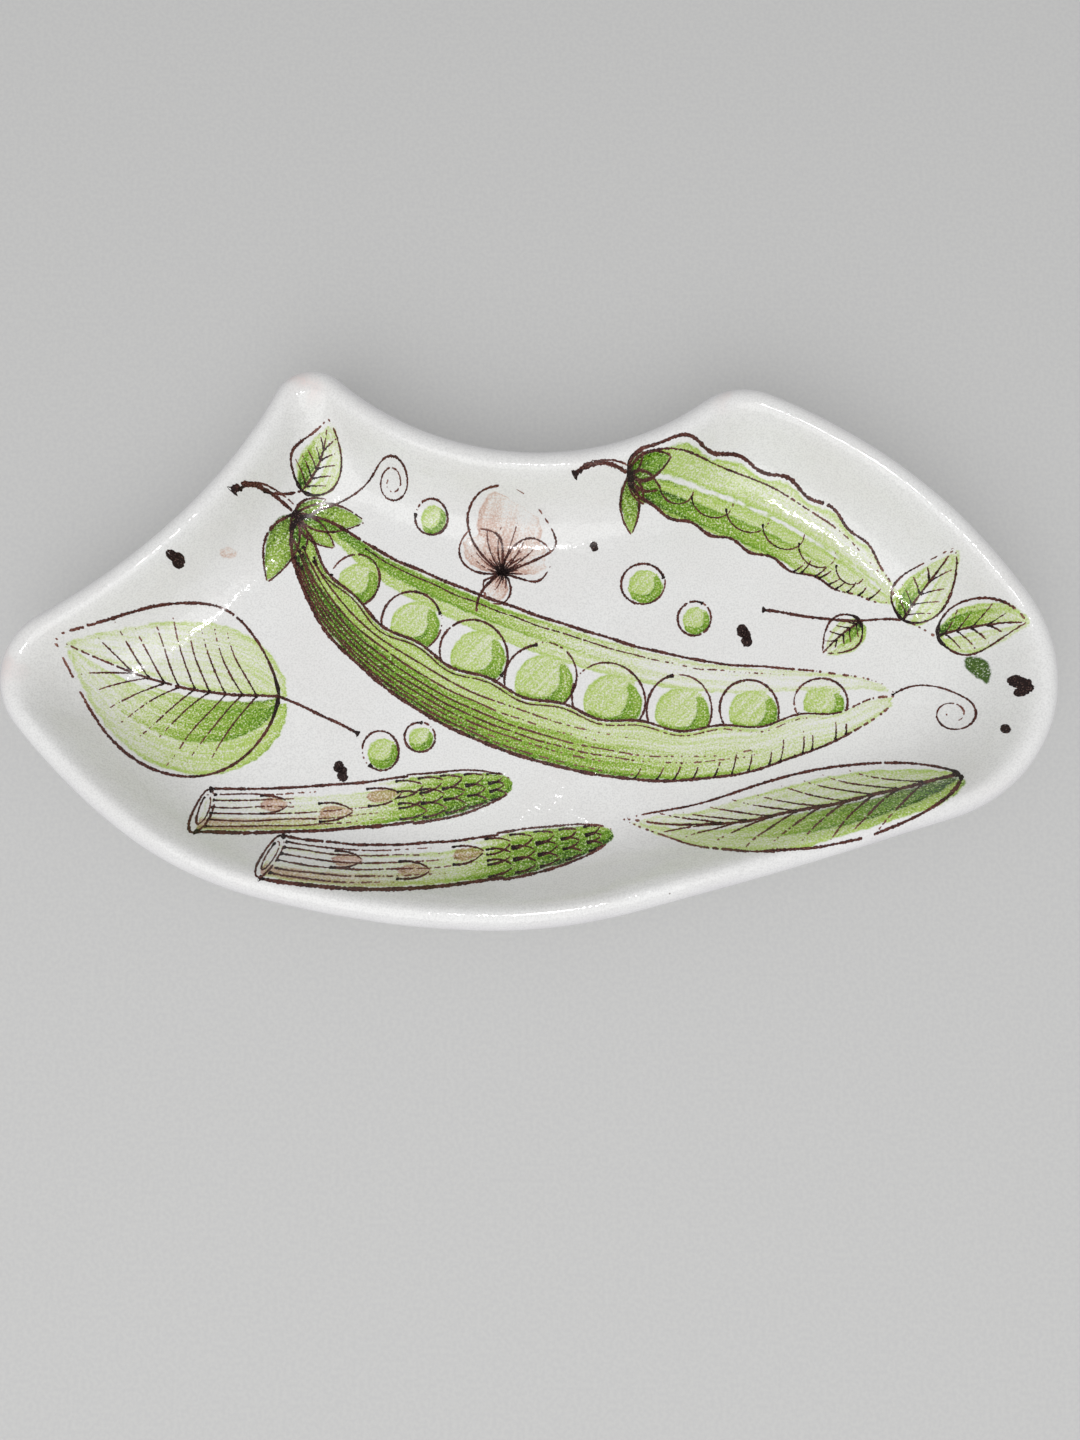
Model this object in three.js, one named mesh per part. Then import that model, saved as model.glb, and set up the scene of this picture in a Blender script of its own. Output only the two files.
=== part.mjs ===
// Free-form vegetable serving dish: one moulded earthenware body on a low foot ring,
// with a coat of white glaze over the face and lip, another over the back and a third inside the foot.
// Millimetres, +Z up, standing on its foot, origin under the middle of its outline.
import * as THREE from 'three';

// Plan outline of the finished rim, counter-clockwise seen from above.
// x, y: where the two edges beside a corner would cross; round: radius of that corner at the rim;
// wellRound: radius of the same corner where the well's wall meets the floor;
// bow: how far the edge from this corner to the next swells out, less than 0 where it is hollow.
const leftTip = { x: -199, y: -2, round: 26, wellRound: 14, bow: 7.5 };
const belly = { x: -116, y: -83, round: 130, wellRound: 60, bow: 6 };
const heel = { x: 16, y: -99.5, round: 180, wellRound: 90, bow: 1 };
const rightTip = { x: 204, y: -44, round: 53, wellRound: 32, bow: 24.5 };
const crown = { x: 71.5, y: 95, round: 25, wellRound: 36, bow: -33.5 };
const shoulder = { x: -83, y: 110, round: 15, wellRound: 30, bow: -17 };

// Section through the wall, from the rim inwards.
const wellDepth = 25;
const floorThickness = 8;
const footHeight = 4;
const lipInset = 6;
const lipDrop = 7;
const wallRun = 34;
const crestEase = 6;
const floorEase = 18;
const backEase = 7;
const baseSpread = 4;

// Foot ring and glaze.
const footSetback = 3;
const footWidth = 6;
const footBevel = 1;
const glazeThickness = 0.6;
const bondGap = 0.1;
const seamGap = 0.3;

// How finely the curves are cut.
const tipSteps = 7;
const flankSteps = 5;
const cornerCrowding = 1.5;
const wallSteps = 7;
const lipSteps = 4;
const backSteps = 6;

const dishHeight = footHeight + floorThickness + wellDepth;
const rimEdgeHeight = dishHeight - lipDrop;
const floorHeight = footHeight + floorThickness;
const coat = glazeThickness + bondGap;
const baseRun = wallRun + baseSpread;
const footInset = baseRun + footSetback;

const corners = [leftTip, belly, heel, rightTip, crown, shoulder];
const flanks = [belly, heel];

// The edge from one corner to the next is the arc on their chord with the given bow.
function edgeArc(corner, next) {
  const from = new THREE.Vector2(corner.x, corner.y);
  const to = new THREE.Vector2(next.x, next.y);
  const chord = to.clone().sub(from);
  const outward = new THREE.Vector2(chord.y, -chord.x).normalize();
  const sense = Math.sign(corner.bow);
  const radius = (chord.lengthSq() / 4 + corner.bow ** 2) / (2 * Math.abs(corner.bow));
  const centre = from.add(to).multiplyScalar(0.5).addScaledVector(outward, corner.bow - sense * radius);
  return { centre, radius, sense };
}

const edges = corners.map((corner, k) => edgeArc(corner, corners[(k + 1) % corners.length]));

// A corner keeps a true offset across the lip, changes steadily down the wall to its round at the floor,
// holds that out to the foot ring, and is a true offset again across the foot.
function cornerRound(corner, inset) {
  if (inset <= lipInset) return corner.round - inset;
  const acrossFoot = Math.max(inset - footInset, 0);
  const share = Math.min((inset - lipInset) / (wallRun - lipInset), 1);
  return THREE.MathUtils.lerp(corner.round - lipInset, corner.wellRound, share) - acrossFoot;
}

// Centre of the round that touches the edges on both sides of a corner, drawn in by the inset.
function roundCentre(k, inset) {
  const before = edges[(k + edges.length - 1) % edges.length];
  const after = edges[k];
  const reach = inset + cornerRound(corners[k], inset);
  const fromBefore = before.radius - before.sense * reach;
  const fromAfter = after.radius - after.sense * reach;
  const line = after.centre.clone().sub(before.centre);
  const span = line.length();
  line.divideScalar(span);
  const across = new THREE.Vector2(-line.y, line.x);
  const along = (span ** 2 + fromBefore ** 2 - fromAfter ** 2) / (2 * span);
  const off = Math.sqrt(fromBefore ** 2 - along ** 2);
  const side = Math.sign(new THREE.Vector2(corners[k].x, corners[k].y).sub(before.centre).dot(across));
  return before.centre.clone().addScaledVector(line, along).addScaledVector(across, side * off);
}

// Rounds and edges of the outline at an inset, as arcs swept by the direction in which the rim faces.
function outlineArcs(inset) {
  const centres = corners.map((corner, k) => roundCentre(k, inset));
  const facing = (k, edge) => centres[k].clone().sub(edge.centre).multiplyScalar(edge.sense).angle();
  const fullTurn = 2 * Math.PI;
  const rounds = corners.map((corner, k) => {
    const start = facing(k, edges[(k + edges.length - 1) % edges.length]);
    const turn = THREE.MathUtils.euclideanModulo(facing(k, edges[k]) - start, fullTurn);
    return { centre: centres[k], radius: cornerRound(corner, inset), start, turn };
  });
  const sides = edges.map((edge, k) => {
    const next = rounds[(k + 1) % rounds.length];
    const leave = rounds[k].start + rounds[k].turn;
    const turn = THREE.MathUtils.euclideanModulo(edge.sense * (next.start - leave), fullTurn);
    return { centre: edge.centre, radius: edge.radius - edge.sense * inset, sense: edge.sense, turn };
  });
  return { rounds, sides };
}

// A place on the half side between a corner's middle and the middle of an edge, by its share of that length.
function halfSidePlace(round, side, share, way) {
  const roundLength = round.radius * round.turn / 2;
  const length = roundLength + side.radius * side.turn / 2;
  const gone = share * length;
  const onRound = gone <= roundLength;
  const arc = onRound ? { ...round, sense: 1 } : side;
  const past = onRound ? gone / round.radius : round.turn / 2 + side.sense * (gone - roundLength) / side.radius;
  const facing = round.start + round.turn / 2 + way * past;
  const outward = new THREE.Vector2(Math.cos(facing), Math.sin(facing));
  return arc.centre.clone().addScaledVector(outward, arc.sense * arc.radius);
}

// Shares of a half side, closer together near the corner.
function shares(corner) {
  const steps = flanks.includes(corner) ? flankSteps : tipSteps;
  return Array.from({ length: steps + 1 }, (unused, i) => (i / steps) ** cornerCrowding);
}

// Closed outline drawn in from the rim, with the same number of places at every inset.
function outline(inset) {
  const { rounds, sides } = outlineArcs(inset);
  return corners.flatMap((corner, k) => {
    const next = (k + 1) % corners.length;
    const leaving = shares(corner).slice(0, -1).map((share) => halfSidePlace(rounds[k], sides[k], share, 1));
    const arriving = shares(corners[next]).slice(1).reverse();
    return [...leaving, ...arriving.map((share) => halfSidePlace(rounds[next], sides[k], share, -1))];
  });
}

const planBox = new THREE.Box2().setFromPoints(outline(0));
const planCentre = planBox.getCenter(new THREE.Vector2());

// Section curves of the finished surface as inset and height: up the well, over the lip, down the back.
const crest = new THREE.Vector2(lipInset, dishHeight);
const rimEdge = new THREE.Vector2(0, rimEdgeHeight);
const quarterRound = 4 * (Math.SQRT2 - 1) / 3;
const wellCurve = new THREE.CubicBezierCurve(
  new THREE.Vector2(wallRun, floorHeight),
  new THREE.Vector2(wallRun - floorEase, floorHeight),
  new THREE.Vector2(lipInset + crestEase, dishHeight),
  crest,
);
const lipCurve = new THREE.CubicBezierCurve(
  crest,
  new THREE.Vector2(lipInset * (1 - quarterRound), dishHeight),
  new THREE.Vector2(0, rimEdgeHeight + lipDrop * quarterRound),
  rimEdge,
);
const backCurve = new THREE.CubicBezierCurve(
  rimEdge,
  new THREE.Vector2(0, rimEdgeHeight - backEase),
  new THREE.Vector2(baseRun - floorEase, footHeight - coat),
  new THREE.Vector2(baseRun, footHeight - coat),
);

// One ring: the outline at an inset, lifted to a height.
function ring(inset, height) {
  return outline(inset).map((p) => new THREE.Vector3(p.x - planCentre.x, p.y - planCentre.y, height));
}

// Rings of the finished surface along a section curve.
function sectionRings(curve, steps) {
  return curve.getPoints(steps).map((place) => ring(place.x, place.y));
}

// The whole finished surface, from the edge of the floor over the lip to the edge of the base.
const wellRings = sectionRings(wellCurve, wallSteps);
const lipRings = sectionRings(lipCurve, lipSteps).slice(1);
const backRings = sectionRings(backCurve, backSteps).slice(1);
const skin = [...wellRings, ...lipRings, ...backRings];
const rimIndex = wellRings.length + lipRings.length - 1;

// Which way the finished surface faces at each place on it; the floor and the base are level.
const skinNormals = skin.map((loop, i) => loop.map((unused, j) => {
  if (i === 0) return new THREE.Vector3(0, 0, 1);
  if (i === skin.length - 1) return new THREE.Vector3(0, 0, -1);
  const count = loop.length;
  const onward = skin[i + 1][j].clone().sub(skin[i - 1][j]);
  const around = loop[(j + 1) % count].clone().sub(loop[(j + count - 1) % count]);
  return onward.cross(around).normalize();
}));

// Rings of the skin sunk squarely below the finished surface by a depth.
function sunk(depth, first = 0, last = skin.length - 1) {
  return skin.slice(first, last + 1).map((loop, i) => loop.map((place, j) => (
    place.clone().addScaledVector(skinNormals[first + i][j], -depth)
  )));
}

// Skin over a run of rings, closed by flat caps at both ends or by joining the last ring to the first.
// Each four-sided facet is split along its shorter diagonal, so that skins lying over each other split alike.
function loft(loops, looped) {
  const count = loops[0].length;
  const places = loops.flat();
  const index = [];
  const bands = looped ? loops.length : loops.length - 1;
  for (let i = 0; i < bands; i += 1) {
    const upper = i * count;
    const lower = ((i + 1) % loops.length) * count;
    for (let j = 0; j < count; j += 1) {
      const k = (j + 1) % count;
      const [a, b, c, d] = [upper + j, lower + j, lower + k, upper + k];
      const straight = places[a].distanceToSquared(places[c]) < places[b].distanceToSquared(places[d]);
      index.push(...(straight ? [a, b, c, a, c, d] : [a, b, d, b, c, d]));
    }
  }
  if (!looped) {
    const last = (loops.length - 1) * count;
    const flat = (loop) => loop.map((p) => new THREE.Vector2(p.x, p.y));
    for (const [a, b, c] of THREE.ShapeUtils.triangulateShape(flat(loops[0]), [])) index.push(a, b, c);
    for (const [a, b, c] of THREE.ShapeUtils.triangulateShape(flat(loops.at(-1)), [])) {
      index.push(last + a, last + c, last + b);
    }
  }
  const geometry = new THREE.BufferGeometry().setFromPoints(places);
  geometry.setIndex(index);
  geometry.computeVertexNormals();
  return geometry;
}

// The clay: well, lip, back and base, all one coat below the finished surface.
function earthenwareBody() {
  return loft(sunk(coat), false);
}

// White glaze over the floor, wall and lip, ending at the rim's widest line.
function faceGlaze() {
  return loft([...sunk(0, 0, rimIndex), ...sunk(glazeThickness, 0, rimIndex).reverse()], false);
}

// Glaze on the back, from just under the rim's widest line to the foot ring.
function backGlaze() {
  const lowered = (loop) => loop.map((place) => place.clone().setZ(place.z - seamGap));
  const stop = footInset - seamGap;
  const outer = sunk(0, rimIndex);
  const inner = sunk(glazeThickness, rimIndex);
  outer[0] = lowered(outer[0]);
  inner[0] = lowered(inner[0]);
  outer.push(ring(stop, footHeight - coat));
  inner.push(ring(stop, footHeight - bondGap));
  return loft([...outer, ...inner.reverse()], true);
}

// Bare foot ring: a flat-topped coil with both bottom arrises bevelled.
function footRing() {
  const inside = footInset + footWidth;
  return loft([
    ring(footInset, footHeight),
    ring(footInset, footBevel),
    ring(footInset + footBevel, 0),
    ring(inside - footBevel, 0),
    ring(inside, footBevel),
    ring(inside, footHeight),
  ], true);
}

// Glaze on the base, inside the foot ring.
function baseGlaze() {
  const edge = footInset + footWidth + seamGap;
  return loft([ring(edge, footHeight - bondGap), ring(edge, footHeight - coat)], false);
}

const clay = new THREE.MeshStandardMaterial({ color: 0xd9b9a6, roughness: 0.9, metalness: 0 });
const facePaint = new THREE.MeshStandardMaterial({ color: 0xe6e6e2, roughness: 0.22, metalness: 0 });
const backPaint = new THREE.MeshStandardMaterial({ color: 0xe2e1dc, roughness: 0.3, metalness: 0 });

function piece(name, geometry, material) {
  const mesh = new THREE.Mesh(geometry, material);
  mesh.name = name;
  return mesh;
}

const dish = new THREE.Group();
dish.name = 'vegetable_serving_dish';
dish.add(
  piece('earthenware_body', earthenwareBody(), clay),
  piece('foot_ring', footRing(), clay.clone()),
  piece('face_glaze', faceGlaze(), facePaint),
  piece('back_glaze', backGlaze(), backPaint),
  piece('base_glaze', baseGlaze(), backPaint.clone()),
);

export default dish;
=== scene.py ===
import math

import bpy
import numpy as np
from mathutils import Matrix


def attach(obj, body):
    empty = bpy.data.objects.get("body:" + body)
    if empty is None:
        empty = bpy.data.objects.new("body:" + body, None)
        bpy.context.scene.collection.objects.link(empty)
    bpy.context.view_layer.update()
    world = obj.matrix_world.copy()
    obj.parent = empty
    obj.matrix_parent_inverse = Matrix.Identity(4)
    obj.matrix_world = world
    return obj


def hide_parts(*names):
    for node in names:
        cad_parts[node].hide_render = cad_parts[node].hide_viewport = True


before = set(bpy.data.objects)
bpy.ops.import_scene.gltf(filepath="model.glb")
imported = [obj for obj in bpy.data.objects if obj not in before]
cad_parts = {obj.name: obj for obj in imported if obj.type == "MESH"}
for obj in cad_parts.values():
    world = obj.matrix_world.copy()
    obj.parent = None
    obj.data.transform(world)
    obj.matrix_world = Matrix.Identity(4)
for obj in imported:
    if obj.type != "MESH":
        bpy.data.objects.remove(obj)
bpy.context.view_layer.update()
print("frame loaded, solids:", sorted(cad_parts))


# steps of length one in the same directions
def unit(steps):
    return steps / np.linalg.norm(steps, axis=-1, keepdims=True)


# which of some marks lies nearest to each place
def nearest(places, marks):
    return ((places[:, None] - marks[None]) ** 2).sum(axis=2).argmin(axis=1)


# a bell that falls away from nought over a spread
def bell(away, spread):
    return np.exp(-(away / spread) ** 2)


# Dish form, in metres, the same as the solids

# corners of the rim going round to the left seen from above: where the edges beside the corner would
# cross, its radius at the rim and at the well floor, and how far the edge after it swells out
rimCorners = {
    "leftTip": dict(place=(-0.199, -0.002), rimRound=0.026, wellRound=0.014, bow=0.0075),
    "belly": dict(place=(-0.116, -0.083), rimRound=0.130, wellRound=0.060, bow=0.006),
    "heel": dict(place=(0.016, -0.0995), rimRound=0.180, wellRound=0.090, bow=0.001),
    "rightTip": dict(place=(0.204, -0.044), rimRound=0.053, wellRound=0.032, bow=0.0245),
    "crown": dict(place=(0.0715, 0.095), rimRound=0.025, wellRound=0.036, bow=-0.0335),
    "shoulder": dict(place=(-0.083, 0.110), rimRound=0.015, wellRound=0.030, bow=-0.017),
}
dishSection = dict(
    height=0.037, floorHeight=0.012, rimEdgeHeight=0.030, lipInset=0.006, wallRun=0.034,
    crestEase=0.006, floorEase=0.018, backEase=0.007, baseRun=0.038, footHeight=0.004,
    footInset=0.041, footWidth=0.006, glaze=0.0006, coat=0.0007, seamGap=0.0003,
    rimJoin=0.00002,
)
# slow unevenness of a moulded and hand-finished dish: height, length, slant and start of its waves
settling = dict(
    lift=0.0004, sway=0.0003, wave=0.135, crossWave=0.09, slant=0.4, crossSlant=-0.3, crossShare=0.6,
    liftStarts=(0.7, 2.1), swayStarts=(0.4, 1.9),
)
# how finely the surfaces are cut, and how many trial places a measure takes
fineness = dict(
    aroundStep=0.00178, crowding=0.35, floorRows=80, wellRows=34, lipRows=14, backRows=40,
    baseRows=16, bodyFloorRows=6, arris=40, lengthTrials=40, insetTrials=160, wellTrials=240, lipTrials=120,
)
floorCentre = np.array([0.005, -0.015])

cornerCount = len(rimCorners)
cornerPlace, rimRound, wellRound, bow = (
    np.array([corner[key] for corner in rimCorners.values()])
    for key in ("place", "rimRound", "wellRound", "bow")
)

# each edge is the arc on the chord between two corners with the given bow
chord = np.roll(cornerPlace, -1, axis=0) - cornerPlace
chordLength = np.linalg.norm(chord, axis=1)
chordOutward = np.stack([chord[:, 1], -chord[:, 0]], axis=1) / chordLength[:, None]
edgeSense = np.sign(bow)
edgeRadius = (chordLength ** 2 / 4 + bow ** 2) / (2 * abs(bow))
edgeCentre = cornerPlace + chord / 2 + chordOutward * (bow - edgeSense * edgeRadius)[:, None]


# corner radius: less by the inset over the lip, an even change to the well's, less again across the foot
def cornerRound(k, inset):
    lip, run = dishSection["lipInset"], dishSection["wallRun"]
    share = np.clip((inset - lip) / (run - lip), 0, 1)
    overLip = rimRound[k] - np.minimum(inset, lip)
    acrossFoot = np.maximum(inset - dishSection["footInset"], 0)
    return overLip + (wellRound[k] - rimRound[k] + lip) * share - acrossFoot


# centre of the corner's round: where circles about both edge centres, drawn in by inset and radius, cross
def roundCentre(k, inset):
    before, after = (k - 1) % cornerCount, k % cornerCount
    reach = inset + cornerRound(after, inset)
    fromBefore = edgeRadius[before] - edgeSense[before] * reach
    fromAfter = edgeRadius[after] - edgeSense[after] * reach
    line = edgeCentre[after] - edgeCentre[before]
    span = np.linalg.norm(line)
    line = line / span
    across = np.array([-line[1], line[0]])
    along = (span ** 2 + fromBefore ** 2 - fromAfter ** 2) / (2 * span)
    off = np.sqrt(np.maximum(fromBefore ** 2 - along ** 2, 0))
    side = np.sign((cornerPlace[after] - edgeCentre[before]) @ across)
    return edgeCentre[before] + along[..., None] * line + side * off[..., None] * across


# direction in which the rim faces where corner k's round meets an edge
def facing(k, edge, inset):
    arm = (roundCentre(k, inset) - edgeCentre[edge]) * edgeSense[edge]
    return np.arctan2(arm[..., 1], arm[..., 0])


# a corner's round at an inset: centre, radius, first facing and turn
def roundArc(k, inset):
    first = facing(k, (k - 1) % cornerCount, inset)
    turn = np.mod(facing(k, k, inset) - first, 2 * np.pi)
    return roundCentre(k, inset), cornerRound(k, inset), first, turn


# places on the half side between a corner's middle and an edge's middle: along the round, then the edge
def halfSide(k, edge, inset, share, way):
    centre, radius, first, turn = roundArc(k, inset)
    far = edge + 1 if way > 0 else edge
    farFacing = facing(far % cornerCount, edge, inset)
    nearFacing = facing(k, edge, inset)
    sense = edgeSense[edge]
    edgeTurn = np.mod(way * sense * (farFacing - nearFacing), 2 * np.pi)
    edgeArc = edgeRadius[edge] - sense * inset
    onRoundLength = radius * turn / 2
    gone = share[None, :] * (onRoundLength + edgeArc * edgeTurn / 2)[:, None]
    onRound = gone <= onRoundLength[:, None]
    pastRound = gone / radius[:, None]
    pastEdge = (turn / 2)[:, None] + sense * (gone - onRoundLength[:, None]) / edgeArc[:, None]
    angle = (first + turn / 2)[:, None] + way * np.where(onRound, pastRound, pastEdge)
    outward = np.stack([np.cos(angle), np.sin(angle)], axis=-1)
    roundPlace = centre[:, None, :] + outward * radius[:, None, None]
    edgePlace = edgeCentre[edge] + outward * (sense * edgeArc)[:, None, None]
    return np.where(onRound[..., None], roundPlace, edgePlace)


# how many places each half side of the rim takes, by its length
def halfSideSteps(k, edge, way):
    ends = halfSide(k, edge, np.zeros(1), np.linspace(0, 1, fineness["lengthTrials"]), way)[0]
    length = np.linalg.norm(np.diff(ends, axis=0), axis=1).sum()
    return int(round(length / fineness["aroundStep"]))


# shares of a half side, closer near the corner: t less a part of its sine
def halfShares(steps):
    t = np.linspace(0, 1, steps + 1)
    return t - fineness["crowding"] * np.sin(np.pi * t) / np.pi


sideSteps = [
    (halfSideSteps(k, k, 1), halfSideSteps((k + 1) % cornerCount, k, -1)) for k in range(cornerCount)
]


# closed outlines of the dish drawn in from the rim, one row of places for each inset
def outlineRows(insets):
    insets = np.asarray(insets, float)
    runs = []
    for k, (leaving, arriving) in enumerate(sideSteps):
        runs.append(halfSide(k, k, insets, halfShares(leaving)[:-1], 1))
        runs.append(halfSide((k + 1) % cornerCount, k, insets, halfShares(arriving)[1:], -1)[:, ::-1])
    return np.concatenate(runs, axis=1) - planCentre


planCentre = np.zeros(2)
rimRow = outlineRows([0.0])[0]
planCentre = (rimRow.min(axis=0) + rimRow.max(axis=0)) / 2
rimRow = rimRow - planCentre
aroundCount = len(rimRow)
print("rim places:", aroundCount)


# places along a cubic curve with four control points
def cubic(a, b, c, d, count):
    t = np.linspace(0, 1, count)[:, None]
    a, b, c, d = (np.array(p) for p in (a, b, c, d))
    return a * (1 - t) ** 3 + 3 * b * t * (1 - t) ** 2 + 3 * c * t ** 2 * (1 - t) + d * t ** 3


# the three section curves as inset and height: up the well, over the lip, down the back
def sectionCurves(wellRows, lipRows, backRows):
    s = dishSection
    crest = (s["lipInset"], s["height"])
    rimEdge = (0, s["rimEdgeHeight"])
    base = s["footHeight"] - s["coat"]
    quarter = 4 * (math.sqrt(2) - 1) / 3  # a cubic's handle for a quarter circle
    lipDrop = s["height"] - s["rimEdgeHeight"]
    well = cubic((s["wallRun"], s["floorHeight"]), (s["wallRun"] - s["floorEase"], s["floorHeight"]),
                 (s["lipInset"] + s["crestEase"], s["height"]), crest, wellRows)
    lip = cubic(crest, (s["lipInset"] * (1 - quarter), s["height"]),
                (0, s["rimEdgeHeight"] + lipDrop * quarter), rimEdge, lipRows)
    back = cubic(rimEdge, (0, s["rimEdgeHeight"] - s["backEase"]),
                 (s["baseRun"] - s["floorEase"], base), (s["baseRun"], base), backRows)
    return well, lip, back


# rings of a section: the outline at each inset lifted to its height
def liftedRows(section):
    plan = outlineRows(section[:, 0])
    height = np.broadcast_to(section[:, 1][:, None, None], plan.shape[:2] + (1,))
    return np.concatenate([plan, height], axis=2)


# which way a grid of rings faces: the step to the next ring crossed with the step round the ring
def rowNormals(rows):
    onward = np.gradient(rows, axis=0)
    around = np.roll(rows, -1, axis=1) - np.roll(rows, 1, axis=1)
    normal = unit(np.cross(onward, around))
    normal[0] = (0, 0, 1)
    normal[-1] = (0, 0, -1)
    return normal


# the dish sags and twists by a hair: sine waves across the plan, growing from the foot to the rim
def settle(points):
    x, y, z = np.moveaxis(np.asarray(points, float), -1, 0)
    s = settling
    rise = np.clip(z / dishSection["height"], 0, 1)
    wave = 2 * np.pi * (x + s["slant"] * y) / s["wave"]
    crossWave = 2 * np.pi * (y + s["crossSlant"] * x) / s["crossWave"]
    swell = np.sin(wave + s["liftStarts"][0]) + s["crossShare"] * np.sin(crossWave + s["liftStarts"][1])
    lift = s["lift"] * rise * swell / (1 + s["crossShare"])
    sway = s["sway"] * rise
    return np.stack([x + sway * np.sin(crossWave + s["swayStarts"][0]),
                     y + sway * np.sin(wave + s["swayStarts"][1]), z + lift], axis=-1)


# puts points and faces into a new object at the origin
def meshPiece(name, points, faces):
    mesh = bpy.data.meshes.new(name)
    mesh.from_pydata(points, [], faces)
    mesh.shade_smooth()
    mesh.update()
    mesh.set_sharp_from_angle(angle=math.radians(fineness["arris"]))
    piece = bpy.data.objects.new(name, mesh)
    bpy.context.scene.collection.objects.link(piece)
    return piece


# a mesh from rings of equal count, joined row to row: the ends close in poles, or the last meets the first
def ringMesh(name, rows, looped=False, poles=None):
    rowCount, count = rows.shape[:2]
    index = np.arange(rowCount * count).reshape(rowCount, count)
    upper = index if looped else index[:-1]
    lower = np.roll(index, -1, axis=0) if looped else index[1:]
    quads = np.stack([upper, lower, np.roll(lower, -1, axis=1), np.roll(upper, -1, axis=1)], axis=-1)
    points = rows.reshape(-1, 3)
    faces = quads.reshape(-1, 4).tolist()
    if poles is not None:
        first, last = len(points), len(points) + 1
        points = np.vstack([points, poles])
        top = np.stack([np.full(count, first), index[0], np.roll(index[0], -1)], axis=-1)
        bottom = np.stack([np.full(count, last), np.roll(index[-1], -1), index[-1]], axis=-1)
        faces += top.tolist() + bottom.tolist()
    return meshPiece(name, settle(points), faces)


# a number or a place for each vertex, for the materials to read
def vertexLayer(piece, name, values):
    values = np.asarray(values, np.float32)
    kind, field = ("FLOAT", "value") if values.ndim == 1 else ("FLOAT_VECTOR", "vector")
    layer = piece.data.attributes.new(name, kind, "POINT")
    layer.data.foreach_set(field, values.ravel())


# the middle of the floor at a height, where its rows close
def floorPole(height):
    return np.array([*floorCentre, height])


# rows that carry a flat ring evenly in towards the middle of the floor, from the middle out
def floorRows(ring, count):
    share = np.linspace(0, 1, count + 1)[1:-1, None, None]
    middle = floorPole(ring[0, 2])
    return middle + (ring[None] - middle) * share


# a closed mesh from walls with a flat floor inside their first ring and another inside their last
def flooredMesh(name, walls, count):
    first, last = walls[0], walls[-1]
    rows = np.concatenate([floorRows(first, count), walls, floorRows(last, count)[::-1]])
    return ringMesh(name, rows, poles=[floorPole(first[0, 2]), floorPole(last[0, 2])])


wellSection, lipSection, backSection = sectionCurves(
    fineness["wellRows"], fineness["lipRows"], fineness["backRows"])
skinSection = np.vstack([wellSection, lipSection[1:], backSection[1:]])
skinRows = liftedRows(skinSection)
skinNormals = rowNormals(skinRows)
rimIndex = fineness["wellRows"] + fineness["lipRows"] - 2


# the skin sunk squarely below the finished surface
def sunkRows(depth, rowsTaken):
    return skinRows[rowsTaken] - depth * skinNormals[rowsTaken]


# Materials

# sRGB values from 0 to 255 as the linear colour that the nodes take
def colour(r, g, b):
    share = np.array([r, g, b]) / 255
    linear = np.where(share <= 0.04045, share / 12.92, ((share + 0.055) / 1.055) ** 2.4)
    return (*linear.tolist(), 1.0)


# gives named sockets a plain value each, or a link from another node's socket
def fill(tree, sockets, values):
    for key, value in values.items():
        if isinstance(value, bpy.types.NodeSocket):
            tree.links.new(value, sockets[key])
        else:
            sockets[key].default_value = value


# adds a node with its settings and fills its inputs
def addNode(tree, kind, inputs, **settings):
    node = tree.nodes.new(kind)
    for key, value in settings.items():
        setattr(node, key, value)
    fill(tree, node.inputs, inputs)
    return node


# one sum on two values
def addMath(tree, operation, first, second):
    return addNode(tree, "ShaderNodeMath", {0: first, 1: second}, operation=operation).outputs[0]


# a value with another added to it by weight
def addPart(tree, base, value, weight):
    inputs = {0: value, 1: weight, 2: base}
    return addNode(tree, "ShaderNodeMath", inputs, operation="MULTIPLY_ADD").outputs[0]


# a value stretched from one range to another with eased ends
def addEase(tree, value, low, high, toLow=0.0, toHigh=1.0):
    ranges = {"Value": value, "From Min": low, "From Max": high, "To Min": toLow, "To Max": toHigh}
    return addNode(tree, "ShaderNodeMapRange", ranges, interpolation_type="SMOOTHSTEP").outputs[0]


# the first colour with a share of the second laid over it
def addMix(tree, share, first, second, blend="MIX"):
    inputs = {0: share, 6: first, 7: second}
    return addNode(tree, "ShaderNodeMix", inputs, data_type="RGBA", blend_type=blend).outputs[2]


# cloudy noise, in waves to the metre
def addNoise(tree, where, scale, detail, rough=0.5):
    inputs = {"Vector": where, "Scale": scale, "Detail": detail, "Roughness": rough}
    return addNode(tree, "ShaderNodeTexNoise", inputs).outputs["Fac"]


# what vertexLayer stored under a name: "Fac" for a number, "Vector" for a place
def addLayer(tree, name, kind="Fac"):
    return addNode(tree, "ShaderNodeAttribute", {}, attribute_name=name).outputs[kind]


# the normal of a surface that a height lifts by up to a depth
def addBump(tree, height, depth):
    inputs = {"Strength": 1.0, "Distance": depth, "Height": height}
    return addNode(tree, "ShaderNodeBump", inputs).outputs["Normal"]


# a place in the object's own metres
def objectPlace(tree):
    return addNode(tree, "ShaderNodeTexCoord", {}).outputs["Object"]


# an empty node group, the sockets given to it and those it fills. A kind is Color, Float or Vector
def newGroup(name, inputs, outputs):
    tree = bpy.data.node_groups.new(name, "ShaderNodeTree")
    for way, sockets in (("INPUT", inputs), ("OUTPUT", outputs)):
        for socketName, kind in sockets.items():
            tree.interface.new_socket(socketName, in_out=way, socket_type="NodeSocket" + kind)
    return tree, tree.nodes.new("NodeGroupInput").outputs, tree.nodes.new("NodeGroupOutput").inputs


# a new material and its shader's inputs
def newMaterial(name):
    material = bpy.data.materials.new(name)
    material.use_nodes = True
    return material, material.node_tree, material.node_tree.nodes["Principled BSDF"].inputs


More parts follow.
